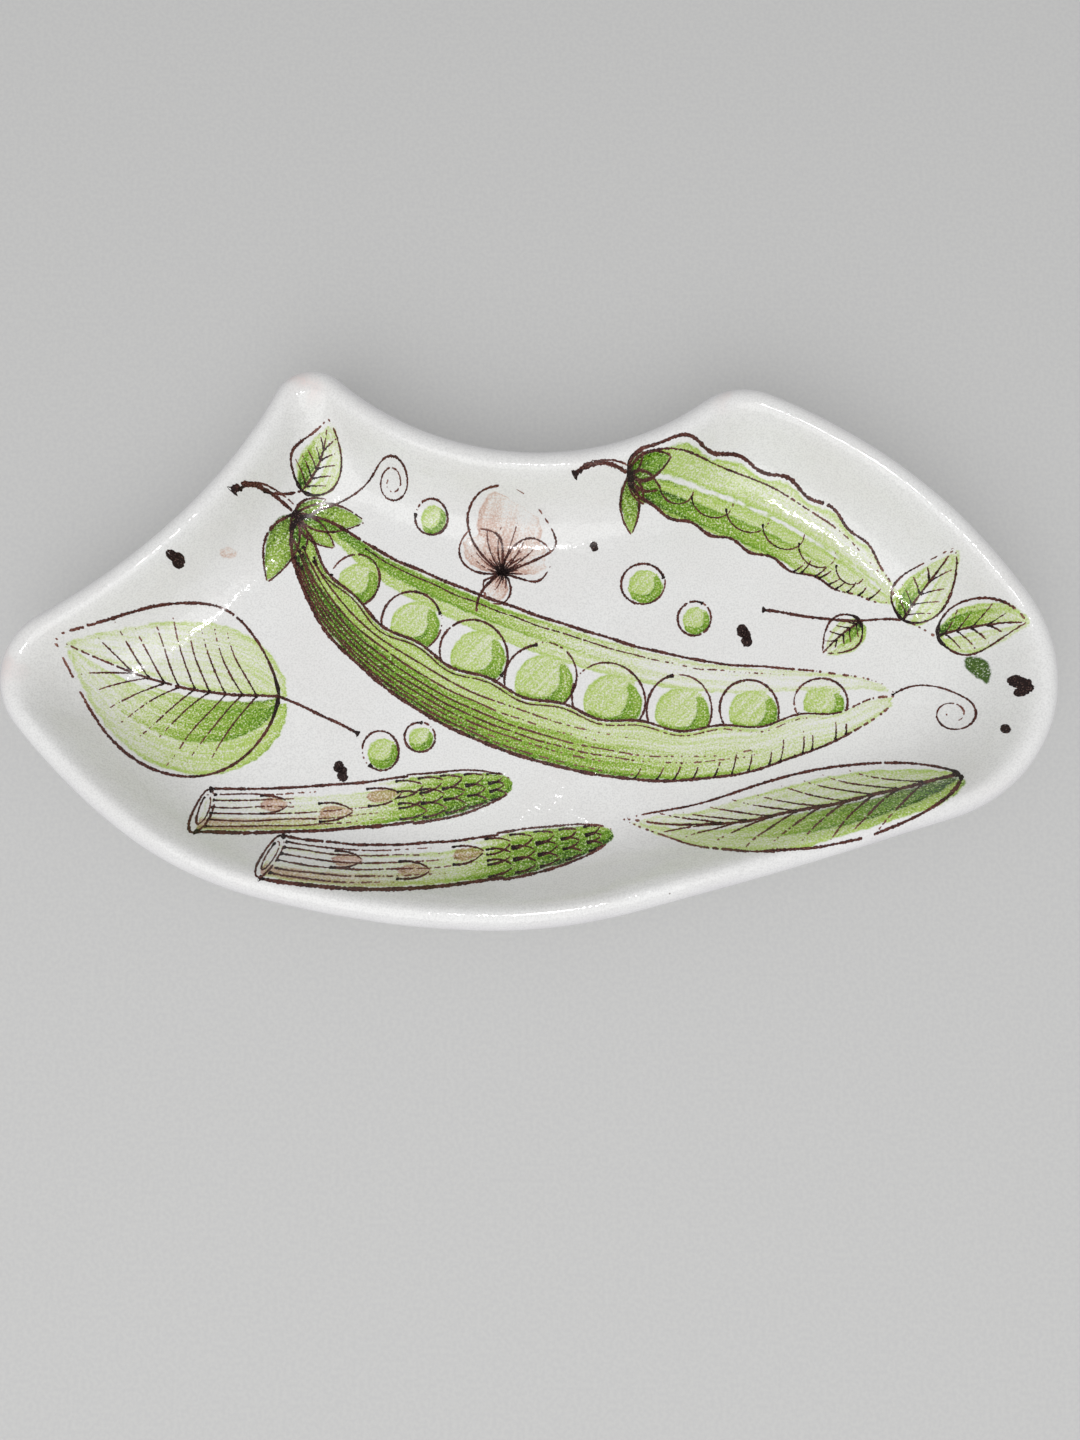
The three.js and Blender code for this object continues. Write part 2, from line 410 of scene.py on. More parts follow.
# the thin white is the blue-grey of thin glaze, and at the lip's outer edge also painted shade and painted
# reflection
glazeLook = dict(
    white=colour(238, 238, 237), thinAndShadeWhite=colour(200, 197, 208), clay=colour(220, 186, 180),
    grey=colour(184, 184, 184), cloudWhite=colour(212, 206, 202), iron=colour(84, 62, 52), ironShare=0.7,
    grainScale=1600, cloudScale=32, peelScale=760, swellScale=120, speckScale=62, speckSize=0.022,
    peelHeight=0.42, swellHeight=1.6, grainHeight=0.03, ripple=0.00022, gloss=(0.05, 0.09), ior=1.52,
)


# tin-white glaze: fine grey grain, slow clouds, iron specks and a rippled skin like orange peel. Thin is
# how thin it has run, which shows blue-grey; at the lip's outer edge that blue-grey is also painted shade
# and painted reflection. Worn is how far it is rubbed through to the clay
def makeGlazeGroup():
    look = glazeLook
    tree, given, made = newGroup(
        "whiteGlaze",
        dict(Place="Vector", Thin="Float", Worn="Float", White="Color", ThinAndShadeWhite="Color", Clay="Color"),
        dict(Color="Color", Roughness="Float", Relief="Float"),
    )
    place = given["Place"]
    grain = addNoise(tree, place, look["grainScale"], 2.0, 0.6)
    cloud = addNoise(tree, place, look["cloudScale"], 3.0, 0.55)
    peel = addNoise(tree, place, look["peelScale"], 1.5, 0.4)
    swell = addNoise(tree, place, look["swellScale"], 1.0, 0.4)
    greyed = addMix(tree, addEase(tree, grain, 0.32, 0.60, 0.30, 0.0), given["White"], look["grey"])
    clouded = addMix(tree, addEase(tree, cloud, 0.35, 0.7, 0.0, 0.12), greyed, look["cloudWhite"])
    # thin glaze turns blue-grey; at the lip's outer edge this blue-grey is also painted shade and painted
    # reflection
    lean = addMath(tree, "MULTIPLY", given["Thin"], addEase(tree, cloud, 0.3, 0.65, 0.16, 0.36))
    thinnedAndShaded = addMix(tree, lean, clouded, given["ThinAndShadeWhite"])
    patch = addMath(tree, "ADD", given["Worn"], addEase(tree, swell, 0.3, 0.7, -0.3, 0.3))
    broken = addEase(tree, grain, 0.3, 0.7, 0.2, 0.55)
    showing = addMath(tree, "MULTIPLY", addEase(tree, patch, 0.2, 1.1), broken)
    rubbed = addMix(tree, showing, thinnedAndShaded, given["Clay"])
    cells = addNode(tree, "ShaderNodeTexVoronoi", {"Vector": place, "Scale": look["speckScale"]}).outputs
    chance = addNode(tree, "ShaderNodeSeparateColor", {0: cells["Color"]}).outputs[0]
    speckSize = addEase(tree, chance, 0.72, 1.0, 0.0, look["speckSize"])
    speck = addMath(tree, "LESS_THAN", cells["Distance"], speckSize)
    speckled = addMix(tree, addMath(tree, "MULTIPLY", speck, look["ironShare"]), rubbed, look["iron"])
    relief = addMath(tree, "MULTIPLY", peel, look["peelHeight"])
    relief = addPart(tree, relief, swell, look["swellHeight"])
    relief = addPart(tree, relief, grain, look["grainHeight"])
    roughness = addEase(tree, cloud, 0.3, 0.7, *look["gloss"])
    fill(tree, made, {"Color": speckled, "Roughness": roughness, "Relief": relief})
    return tree


# how a wash behaves: lengths are millimetres inside its edge, the rest shares of the brush's load
washForm = dict(
    wander=0.45, fray=0.12, fade=(-0.30, 0.50), poolReach=(0.2, 2.2), pool=(0.17, -0.03),
    mottle=(0.14, 0.42), streak=0.11, speckGrain=(0.34, 0.43), speckCover=(0.9, 0.4),
)


# a wash under the glaze: its edge wanders, bristles streak it, colour pools at its edge, specks stay bare.
# Edge is how far inside it a place lies, Tone the brush's load, Stroke the place along and across it
def makeWashGroup():
    form = washForm
    tree, given, made = newGroup(
        "wash",
        dict(Under="Color", Edge="Float", Tone="Float", Stroke="Vector", Grain="Float", Wander="Float",
             Thin="Color", Full="Color", Deep="Color"),
        dict(Color="Color"),
    )
    grain, tone = given["Grain"], given["Tone"]
    bristles = addNoise(tree, given["Stroke"], 1.0, 3.0, 0.6)
    streak = addEase(tree, bristles, 0.28, 0.72, -1.0, 1.0)
    wander = addEase(tree, given["Wander"], 0.2, 0.8, -form["wander"], form["wander"])
    edge = addMath(tree, "ADD", given["Edge"], addPart(tree, wander, streak, form["fray"]))
    cover = addEase(tree, edge, *form["fade"])
    pool = addEase(tree, edge, *form["poolReach"], *form["pool"])
    mottle = addMath(tree, "MULTIPLY", addEase(tree, grain, 0.25, 0.75, -1.0, 1.0),
                     addEase(tree, tone, 0.0, 0.7, *form["mottle"]))
    uneven = addPart(tree, mottle, streak, form["streak"])
    load = addMath(tree, "ADD", addMath(tree, "ADD", tone, pool), uneven)
    bare = addMath(tree, "MAXIMUM", addEase(tree, grain, *form["speckGrain"]),
                   addEase(tree, tone, 0.1, 0.6, *form["speckCover"]))
    laid = addMath(tree, "MULTIPLY", cover, addEase(tree, load, -0.06, 0.30))
    share = addMath(tree, "MULTIPLY", laid, bare)
    pale = addMix(tree, addEase(tree, load, 0.12, 0.58), given["Thin"], given["Full"])
    pigment = addMix(tree, addEase(tree, load, 0.55, 1.0), pale, given["Deep"])
    fill(tree, made, {"Color": addMix(tree, share, given["Under"], pigment, "MULTIPLY")})
    return tree


washLooks = {
    "leaf": dict(Thin=colour(232, 242, 190), Full=colour(190, 220, 104), Deep=colour(112, 152, 40)),
    "accent": dict(Thin=colour(214, 230, 146), Full=colour(152, 190, 62), Deep=colour(66, 98, 20)),
    "blush": dict(Thin=colour(244, 226, 216), Full=colour(218, 178, 162), Deep=colour(146, 100, 86)),
}
washNoise = dict(grain=1500, wander=260)  # waves to the metre
glazeGroup = makeGlazeGroup()
washGroup = makeWashGroup()


# lays the white glaze on a material: its gloss and relief, and its colour for what is painted under it
def useGlaze(tree, shader):
    inputs = {"Place": objectPlace(tree), "Thin": addLayer(tree, "thinAndShade"), "Worn": addLayer(tree, "worn"),
              "White": glazeLook["white"], "ThinAndShadeWhite": glazeLook["thinAndShadeWhite"], "Clay": glazeLook["clay"]}
    glaze = addNode(tree, "ShaderNodeGroup", inputs, node_tree=glazeGroup).outputs
    relief = addBump(tree, glaze["Relief"], glazeLook["ripple"])
    fill(tree, shader, {"Roughness": glaze["Roughness"], "Normal": relief, "IOR": glazeLook["ior"]})
    return glaze["Color"]


# the face: white glaze with the washes laid one over another beneath it
def makePaintedGlaze():
    material, tree, shader = newMaterial("painted_glaze")
    under = useGlaze(tree, shader)
    place = objectPlace(tree)
    grain = addNoise(tree, place, washNoise["grain"], 3.0, 0.65)
    wander = addNoise(tree, place, washNoise["wander"], 3.0, 0.6)
    for layer, look in washLooks.items():
        stroke = addLayer(tree, layer + "Stroke", "Vector")
        inputs = {"Under": under, "Stroke": stroke, "Grain": grain, "Wander": wander, **look,
                  **{key: addLayer(tree, layer + key) for key in ("Edge", "Tone")}}
        under = addNode(tree, "ShaderNodeGroup", inputs, node_tree=washGroup).outputs["Color"]
    fill(tree, shader, {"Base Color": under})
    return material


# the back and the base: white glaze alone
def makePlainGlaze():
    material, tree, shader = newMaterial("plain_glaze")
    fill(tree, shader, {"Base Color": useGlaze(tree, shader)})
    return material


clayLook = dict(
    pale=colour(222, 190, 168), warm=colour(201, 160, 138), sand=colour(158, 116, 96), sandShare=0.7,
    cloudScale=70, gritScale=1700, gritDepth=0.00012, dryness=(0.78, 0.95),
)


# bare pinkish clay: soft clouds, sandy grit and a dry rough skin
def makeBareClay():
    look = clayLook
    material, tree, shader = newMaterial("bare_clay")
    place = objectPlace(tree)
    cloud = addNoise(tree, place, look["cloudScale"], 4.0, 0.6)
    grit = addNoise(tree, place, look["gritScale"], 3.0, 0.7)
    body = addMix(tree, addEase(tree, cloud, 0.3, 0.7), look["pale"], look["warm"])
    gritty = addMix(tree, addEase(tree, grit, 0.56, 0.74, 0.0, look["sandShare"]), body, look["sand"])
    fill(tree, shader, {"Base Color": gritty, "Normal": addBump(tree, grit, look["gritDepth"]),
                        "Roughness": addEase(tree, grit, 0.3, 0.7, *look["dryness"])})
    return material


penLook = dict(
    faint=colour(158, 112, 98), dry=colour(98, 52, 44), wet=colour(26, 11, 10), speck=colour(158, 134, 124),
    grainScale=1900, grainShare=0.25, speckShare=0.6, gloss=(0.14, 0.26), specular=0.3,
)


# iron-brown pen colour: near black where the pen was loaded, red-brown and grainy where it ran dry
def makePenBrown():
    look = penLook
    material, tree, shader = newMaterial("pen_brown")
    grain = addNoise(tree, objectPlace(tree), look["grainScale"], 2.0, 0.7)
    uneven = addEase(tree, grain, 0.3, 0.7, look["grainShare"], -look["grainShare"])
    load = addMath(tree, "ADD", addLayer(tree, "load"), uneven)
    dry = addMix(tree, addEase(tree, load, 0.0, 0.45), look["faint"], look["dry"])
    wet = addMix(tree, addEase(tree, load, 0.4, 1.0), dry, look["wet"])
    specked = addMix(tree, addEase(tree, grain, 0.60, 0.70, 0.0, look["speckShare"]), wet, look["speck"])
    fill(tree, shader, {"Base Color": specked, "Specular IOR Level": look["specular"],
                        "Roughness": addEase(tree, grain, 0.3, 0.7, *look["gloss"])})
    return material


paintedGlaze = makePaintedGlaze()
plainGlaze = makePlainGlaze()
bareClay = makeBareClay()
penBrown = makePenBrown()
print("materials made")

# Paint: washes and pen lines, laid out in plan in metres

penForm = dict(
    step=0.00033, fray=0.00008, proud=0.00006, sunk=0.00012, least=0.00016, rimMargin=0.0035,
    drift=0.0003, driftWave=0.028, swellWave=0.011, loadWave=0.009, swell=0.2, grain=0.13, taper=0.4,
    blobReach=0.0010, wetReach=0.002, wetStart=0.5, dryLoss=0.45, loadSwing=0.14,
    breakRise=3.3, breakStart=-2.8,
)
# bristle streaks: waves to the metre along and across a stroke, and how far apart strokes lie in the noise
bristle = dict(along=25.0, across=850.0, apart=5.3)
brushForm = dict(steps=90, reach=0.005, leastSpan=0.001, rimMargin=0.006)
curveSteps = dict(square=80, cubic=32, oval=80, coil=120, crescent=40)  # steps before a path is made even
millimetres = 1000  # in a metre
draws = np.random.default_rng(23)
penRuns = []
washLayers = {layer: [] for layer in washLooks}


# length gone along a path at each of its places
def lengthGone(path):
    return np.concatenate([[0], np.cumsum(np.linalg.norm(np.diff(path, axis=0), axis=1))])


# a path in even steps along its length
def evenSteps(path, step=penForm["step"]):
    gone = lengthGone(path)
    at = np.linspace(0, gone[-1], int(gone[-1] / step) + 1)
    return np.stack([np.interp(at, gone, path[:, i]) for i in range(2)], axis=1)


# a smooth line: a square curve through three places, or cubics whose slope is half the step past a place
def bentLine(places):
    p = np.asarray(places, float)
    if len(p) == 3:
        t = np.linspace(0, 1, curveSteps["square"])[:, None]
        return evenSteps(p[0] * (1 - t) * (1 - 2 * t) + 4 * p[1] * t * (1 - t) + p[2] * t * (2 * t - 1))
    p = np.vstack([2 * p[0] - p[1], p, 2 * p[-1] - p[-2]])
    t = np.linspace(0, 1, curveSteps["cubic"], endpoint=False)[None, :, None]
    a, b, c, d = (p[i:len(p) - 3 + i, None, :] for i in range(4))
    square, cube = 2 * a - 5 * b + 4 * c - d, 3 * b - a - 3 * c + d
    curve = b + 0.5 * ((c - a) * t + square * t ** 2 + cube * t ** 3)
    return evenSteps(np.vstack([curve.reshape(-1, 2), p[-2]]))


# a unit step in a direction
def towards(angle):
    return np.array([math.cos(angle), math.sin(angle)])


# a step turned a quarter to the left
def turnedLeft(step):
    return np.array([-step[1], step[0]])


# unit steps to the left of a path
def leftOf(path):
    along = unit(np.gradient(path, axis=0))
    return np.stack([-along[:, 1], along[:, 0]], axis=1)


# the direction of a path whose left is given
def angleFrom(left):
    return math.atan2(-left[0], left[1])


# a path moved to its left by an amount at each place
def shifted(path, amount):
    return path + leftOf(path) * amount[:, None]


# how far along each place of a path is, from 0 to 1
def shareAlong(path):
    return np.linspace(0, 1, len(path))


# the part of a run between two shares of it
def part(run, start, stop):
    last = len(run) - 1
    return run[int(start * last):int(stop * last) + 1]


# a slow wandering number along a path: three sine waves of about the given length
def wandering(path, length):
    gone = np.arange(len(path)) * penForm["step"]
    waves = length * draws.uniform(0.6, 1.7, 3)
    return sum(np.sin(2 * np.pi * gone / wave + draws.uniform(0, 2 * np.pi)) for wave in waves) / 3


# grain of the pen along a path: normal draws, each taken with a third of its neighbours
def penGrain(path):
    raw = draws.normal(size=len(path) + 2)
    return (raw[:-2] + 3 * raw[1:-1] + raw[2:]) / math.sqrt(11)


# one pen line along an even path. It starts in a blob, thins and thickens, drifts off its path, and breaks
# into dots as it runs dry: it shows where the grain lies above a level that rises to the dry end
def penLine(path, width=0.0008, blob=0.9, dry=0.35, load=0.66, shown=True):
    form = penForm
    share = shareAlong(path)
    gone = share * (len(path) - 1) * form["step"]
    path = shifted(path, form["drift"] * wandering(path, form["driftWave"]))
    grain = penGrain(path)
    swell = 1 + form["swell"] * wandering(path, form["swellWave"]) + form["grain"] * grain
    swell = swell + blob * bell(gone, form["blobReach"])
    taper = 1 - form["taper"] * np.clip(2 * share - 1, 0, 1)
    dryness = np.clip((share - 1 + dry) / dry, 0, 1)
    drawn = grain > form["breakRise"] * dryness + form["breakStart"]
    wet = form["wetStart"] * bell(gone, form["wetReach"]) - form["dryLoss"] * dryness
    wetness = load + wet + form["loadSwing"] * wandering(path, form["loadWave"])
    penRuns.append((path, width * swell * taper * (drawn & shown), wetness))


# a pen line through a few places
def penCurve(places, **touch):
    penLine(bentLine(places), **touch)


# a fat touch of the pen, rounded at both ends: half an oval's width along it, a little uneven
def penDab(start, end, width):
    path = evenSteps(np.array([start, end]), penForm["step"] / 2)
    rounded = np.sqrt(np.clip(1 - (2 * shareAlong(path) - 1) ** 2, 0, 1))
    penRuns.append((path, width * rounded * (1 + 0.16 * wandering(path, 0.003)), np.ones(len(path))))


# a cluster of dabs, each on the next turn of a spiral round a place
def paintDabs(place, size, count):
    for i in range(count):
        middle = np.array(place) + 0.45 * size * math.sqrt(i) * towards(2.4 * i)
        along = towards(draws.uniform(0, np.pi))
        reach = size * draws.uniform(0.5, 0.8) * along
        penDab(middle - reach, middle + reach, size * draws.uniform(0.7, 1.0))


hatchForm = dict(lean=0.5, bend=0.0004, scatter=0.2, reach=(0.7, 1.15), width=0.0006)


# short strokes side by side along a path, to its left, all leaning the same way and running dry
def paintHatch(path, reach, count):
    form = hatchForm
    side = leftOf(path)
    for at in np.linspace(0, 1, count) + draws.normal(0, form["scatter"] / count, count):
        k = int(np.clip(at, 0, 1) * (len(path) - 1))
        onward = -turnedLeft(side[k])
        tip = path[k] + reach * draws.uniform(*form["reach"]) * (side[k] + form["lean"] * onward)
        middle = (path[k] + tip) / 2 + form["bend"] * onward
        penCurve([path[k], middle, tip], width=form["width"], blob=0.8, dry=0.55)


# a brush wash along a part of a spine. Shares of a half width give its middle line and how far it reaches
# to the left and right of that; tones run from start to end and lean to the left; within is how far inside
# a line that stops it places lie
def brush(layer, spine, half, shares, tones, lean=0.0, span=(0, 1), within=None):
    middle, left, right = shares
    spine, half = part(shifted(spine, half * middle), *span), part(half, *span)
    take = np.linspace(0, len(spine) - 1, min(len(spine), brushForm["steps"])).astype(int)
    toneRun = np.interp(shareAlong(take), np.linspace(0, 1, len(tones)), tones)
    washLayers[layer].append(dict(spine=spine[take], gone=lengthGone(spine)[take], left=half[take] * left,
                                  right=half[take] * right, tones=toneRun, lean=lean, within=within))


# half widths that are round at both ends of a brush: a quarter circle over each end's share
def roundEnds(spine, width, endShare):
    t = shareAlong(spine)
    opening = 1 - np.clip(1 - t / endShare, 0, 1) ** 2
    closing = 1 - np.clip(1 - (1 - t) / endShare, 0, 1) ** 2
    return width * np.sqrt(opening * closing)


# half widths of a blade: a sine, with its top nearer the start for a low belly, flatter for a low power
def bladeHalf(spine, width, belly=0.75, power=0.85):
    return width * np.clip(np.sin(np.pi * shareAlong(spine) ** belly), 0, 1) ** power


# an oval path about a place, with a little more than a full turn
def ovalPath(place, wide, high, turn, startAngle, turns=1.08):
    angle = np.linspace(0, 2 * np.pi * turns, curveSteps["oval"]) + startAngle
    shrink = 1 + 0.03 * np.sin(2 * angle + startAngle) + 0.02 * np.linspace(-1, 1, len(angle))
    x, y = wide * shrink * np.cos(angle), high * shrink * np.sin(angle)
    c, s = math.cos(turn), math.sin(turn)
    return evenSteps(np.stack([place[0] + c * x - s * y, place[1] + s * x + c * y], axis=1))


# Motifs

# a curling tendril: a bent lead-in, then a coil to the right whose radius shrinks evenly
def paintTendril(places, radius, turns):
    lead = bentLine(places)
    along = unit(lead[-1] - lead[-4])
    side = -turnedLeft(along)
    angle = np.linspace(0, 2 * np.pi * turns, curveSteps["coil"])[1:]
    shrink = radius * (1 - 0.78 * angle / angle[-1])
    middle = lead[-1] + side * radius
    coil = middle - side * (shrink * np.cos(angle))[:, None] + along * (shrink * np.sin(angle))[:, None]
    penLine(evenSteps(np.vstack([lead, coil])), width=0.0007, dry=0.3)


# a leaf: two drawn edges, a midrib that runs on as the stalk, side veins, and a broad brush stroke down
# each half that fades to the tip, a little off the drawing
def paintLeaf(places, half, veins, tones=(0.55, 0.3, 0.05), deep=0.75, width=0.001, slip=0.0015,
              stalk=None):
    spine = bentLine(places)
    side, blade = leftOf(spine), bladeHalf(spine, half)
    last = len(spine) - 1
    for way, dry in ((1, 0.35), (-1, 0.15)):
        penLine(shifted(spine, way * blade), width=width, dry=dry)
        for start in 0.1 + 0.68 * np.arange(veins) / veins:
            near, far = int(start * last), int((start + 0.19) * last)
            tip = spine[far] + way * side[far] * blade[far] * draws.uniform(0.72, 0.94)
            middle = (spine[near] + tip) / 2 + (spine[far] - spine[near]) * 0.10
            penCurve([spine[near], middle, tip], width=width * 0.62, dry=0.6)
    rib = spine if stalk is None else np.vstack([bentLine([*stalk, spine[0]]), spine[1:]])
    penLine(rib, width=width * 1.1, blob=1.4, dry=0.2)
    slipped = spine + slip * np.array([0.8, -0.6])
    brush("leaf", slipped, blade, (0.50, 0.42, 0.40), tones)
    brush("leaf", slipped, blade, (-0.46, 0.40, 0.38), np.array(tones) * 0.55)
    brush("accent", spine, blade, (0.30, 0.30, 0.22), (deep, deep * 0.6, -0.1), span=(0, 0.7))


# a pea: a drawn ring, a wash that leaves a bare light above, and a darker crescent below
def paintPea(place, radius, tone, within=None):
    place = np.array(place)
    ring = ovalPath(place, radius, radius * 0.97, draws.uniform(0, 3), draws.uniform(0, 6))
    penLine(ring, width=0.0009, dry=0.3, shown=True if within is None else within(ring) > 0)
    middle = place + radius * np.array([0.10, -0.14])
    spot = evenSteps(np.array([middle - 0.56 * radius, middle + 0.56 * radius]))
    brush("leaf", spot, roundEnds(spot, radius * 0.80, 0.5), (0, 1, 1), (tone, tone * 0.7), within=within)
    angle = np.linspace(-2.75, 0.75, curveSteps["crescent"])
    arc = np.array([0.05, -0.07]) + 0.66 * np.stack([np.cos(angle), np.sin(angle)], axis=1)
    crescent = evenSteps(place + radius * arc)
    wide = roundEnds(crescent, radius * 0.22, 0.4)
    brush("accent", crescent, wide, (0, 1, 1.1), (0.1, 0.5, 0.25), within=within)


# where places lie against a spine: share along it and distance to its left, from every sixth step
def alongSpine(places, spine, side):
    near = nearest(places, spine[::6]) * 6
    return near / (len(spine) - 1), ((places - spine[near]) * side[near]).sum(axis=1)


# an open pod: a pale far shell, a row of peas, and a near shell that hides their lower parts. Its colour is
# deepest at the stalk and runs out to the tip
def paintOpenPod(places, half, peas, peaRadius):
    spine = bentLine(places)
    t, side = shareAlong(spine), leftOf(spine)
    far = bladeHalf(spine, half, 0.9, 0.55)
    near = far * 1.05
    lip = -0.18 * far + 0.0012 * np.sin(2 * np.pi * (peas + 0.5) * t)

    def aboveLip(path):
        share, offset = alongSpine(path, spine, side)
        return offset - np.interp(share, t, lip)

    penLine(shifted(spine, far), width=0.0012, dry=0.25)
    penLine(part(shifted(spine, far * 0.86), 0.1, 0.85), width=0.0006, dry=0.6)
    penLine(shifted(spine, lip), width=0.0011, dry=0.1)
    penLine(part(shifted(spine, lip - 0.0017), 0.06, 0.9), width=0.0006, dry=0.6)
    penLine(shifted(spine, -near), width=0.0013, dry=0.12)
    for share in (0.40, 0.52, 0.63, 0.72, 0.80, 0.87, 0.93):
        rib = part(shifted(spine, -near * share), 0.03 + 0.05 * draws.random(), draws.uniform(0.45, 0.85))
        penLine(rib, width=0.0007, blob=1.2, dry=0.6, load=0.6)
    for at in np.linspace(0, 1, peas):
        k = int((0.13 + 0.76 * at) * (len(spine) - 1))
        size = peaRadius * (0.62 + 0.38 * math.sin(math.pi * (0.08 + 0.86 * at)))
        paintPea(spine[k] + side[k] * 0.12 * far[k], size, 0.4, aboveLip)
    depth = (near + lip) / 2
    brush("leaf", spine, far, (0.72, 0.24, 0.26), (0.55, 0.35, 0.12, 0.0))
    brush("leaf", shifted(spine, (lip - near) / 2), depth, (0, 0.92, 0.97), (0.75, 0.55, 0.36, 0.24, 0.1),
          lean=-0.08)
    brush("accent", shifted(spine, depth * 0.62 - near), depth, (0, 0.5, 0.56),
          (0.85, 0.55, 0.36, 0.22, -0.12), lean=-0.12, span=(0.04, 0.80))
    brush("accent", spine, far, (0.84, 0.10, 0.18), (0.5, 0.25, -0.1), span=(0.05, 0.6))
    paintHatch(part(shifted(spine, -near), 0.62, 0.92), half * 0.30, 13)


# a closed pod whose sides swell over each seed: a pale stroke above and a fuller one below
def paintClosedPod(places, half, seeds):
    spine = bentLine(places)
    side = leftOf(spine)
    blade = bladeHalf(spine, half, 0.85, 0.5)
    bumpy = blade * (1 + 0.07 * np.cos(2 * np.pi * seeds * shareAlong(spine)))
    penLine(shifted(spine, bumpy), width=0.0011, dry=0.15)
    penLine(shifted(spine, -bumpy), width=0.0012, dry=0.2)
    penLine(part(shifted(spine, blade * 0.72), 0.06, 0.92), width=0.0006, dry=0.6)
    for i in range(seeds):
        k = int((0.1 + 0.8 * (i + 0.5) / seeds) * (len(spine) - 1))
        middle = spine[k] - side[k] * 0.1 * blade[k]
        seed = ovalPath(middle, blade[k] * 0.62, blade[k] * 0.5, angleFrom(side[k]), 3.4, 0.55)
        penLine(seed, width=0.0006, dry=0.5)
    slipped = spine + 0.0012 * np.array([1, -0.6])
    brush("leaf", slipped, bumpy, (0.48, 0.42, 0.36), (0.5, 0.24, 0.05))
    brush("leaf", slipped, bumpy, (-0.42, 0.44, 0.52), (0.6, 0.4, 0.3, 0.15))
    brush("accent", spine, blade, (-0.66, 0.3, 0.26), (0.8, 0.42, 0.3, -0.05), span=(0.03, 0.8))
    paintHatch(part(shifted(spine, -bumpy), 0.66, 0.94), half * 0.42, 9)


# sepals and stalk at the stem end of a pod
def paintCalyx(place, angle, size, stalk):
    place = np.array(place)
    for i, spread in enumerate((-1.15, -0.55, 0.1, 0.7, 1.25)):
        out = towards(angle + spread)
        reach = size * (0.8 + 0.3 * math.cos(2.3 * i))
        tip = place + out * reach
        for way in (1, -1):
            belly = place + out * reach * 0.45 + way * turnedLeft(out) * reach * 0.2
            penCurve([place, belly, tip], width=0.0009, dry=0.1)
        blade = bentLine([place, place + out * reach * 0.5, tip])
        brush("accent", blade, bladeHalf(blade, reach * 0.2), (0, 1, 1), (0.9, 0.6, 0.3))
    penCurve(stalk, width=0.0016, blob=1.3, dry=0.1)
    penCurve(np.array(stalk) + np.array([0.0022, 0.0010]), width=0.0007, dry=0.5)


# an asparagus spear: long sides, a cut end, ribs that break up, bracts and a bud of overlapping scales
def paintSpear(places, half, tones):
    spine = bentLine(places)
    t, side = shareAlong(spine), leftOf(spine)
    bud = np.sqrt(np.clip(1 - ((t - 0.66) / 0.345) ** 2, 0, 1)) * 1.06
    body = half * np.where(t < 0.66, 0.94 + 0.06 * t, bud)
    penLine(shifted(spine, body), width=0.001, dry=0.1)
    penLine(shifted(spine, -body), width=0.0013, dry=0.1)
    for share in (-0.72, -0.45, -0.15, 0.15, 0.48, 0.74):
        rib = part(shifted(spine, body * share), 0.02, draws.uniform(0.3, 0.66))
        penLine(rib, width=0.0006, blob=1.3, dry=0.65, load=0.6)
    for wide, high, startAngle, width in ((0.34, 0.96, 1.0, 0.0008), (0.20, 0.66, 2.0, 0.0006)):
        penLine(ovalPath(spine[0], half * wide, half * high, angleFrom(side[0]), startAngle), width=width)
    bractTouch, scaleTouch = ("blush", (0.5, 0.2)), ("accent", (0.8, 0.3))
    bracts = [(0.17, 0.25, 0.9, bractTouch), (0.36, -0.2, 1.0, bractTouch), (0.52, 0.3, 1.0, bractTouch)]
    scales = [(0.62 + 0.075 * row, across, 0.82 - 0.08 * row, scaleTouch)
              for row in range(5) for across in (-0.5, 0.02, 0.52)]
    for at, across, size, (layer, scaleTones) in bracts + scales:
        k = int(at * (len(spine) - 1))
        onward = -turnedLeft(side[k])
        foot = spine[k] + side[k] * body[k] * across
        reach = half * 1.5 * size
        spread = min(half * 0.42 * size, body[k] * 0.4)
        tip = foot + onward * reach + side[k] * across * half * 0.12
        for way in (1, -1):
            start = foot + way * side[k] * spread
            middle = foot + onward * reach * 0.55 + way * side[k] * spread * 0.85
            penCurve([start, middle, tip], dry=0.15, blob=0.4)
        scale = bentLine([foot, tip])
        brush(layer, scale, bladeHalf(scale, spread * 0.8), (0, 1, 1), scaleTones)
    brush("leaf", spine, body, (0, 0.55, 0.92), tones, lean=-0.12)
    brush("accent", spine, body, (0, 0.9, 0.92), (-0.15, 0.35, 0.6, 0.5), lean=-0.15, span=(0.5, 1))
    brush("blush", spine, body, (0, -0.35, 0.86), (0.36, 0.16, -0.15), span=(0, 0.5))


# a blossom: a wide back petal, two side petals and a keel, in pinkish-brown strokes that leave bare edges
def paintBlossom(place, angle, size):
    place = np.array(place)
    for spread, reach, half in ((0.0, 1.0, 0.62), (0.95, 0.72, 0.3), (-0.95, 0.72, 0.3), (2.9, 0.42, 0.2)):
        out = towards(angle + spread)
        tip = place + out * reach * size
        spine = bentLine([place, (place + tip) / 2 + turnedLeft(out) * size * 0.05, tip])
        blade = bladeHalf(spine, half * size, 1.35, 0.6)
        for way in (1, -1):
            penLine(shifted(spine, way * blade), width=0.0009, dry=0.25)
        for share in (-0.62, -0.34, -0.06, 0.24, 0.54):
            rib = part(shifted(spine, blade * share), 0.05, draws.uniform(0.4, 0.75))
            penLine(rib, width=0.00055, blob=0.4, dry=0.7)
        brush("blush", spine, blade, (0, 0.8, 0.66), (0.75, 0.45, 0.24, 0.05), lean=0.06, span=(0.04, 0.86))


# Layout of the painting

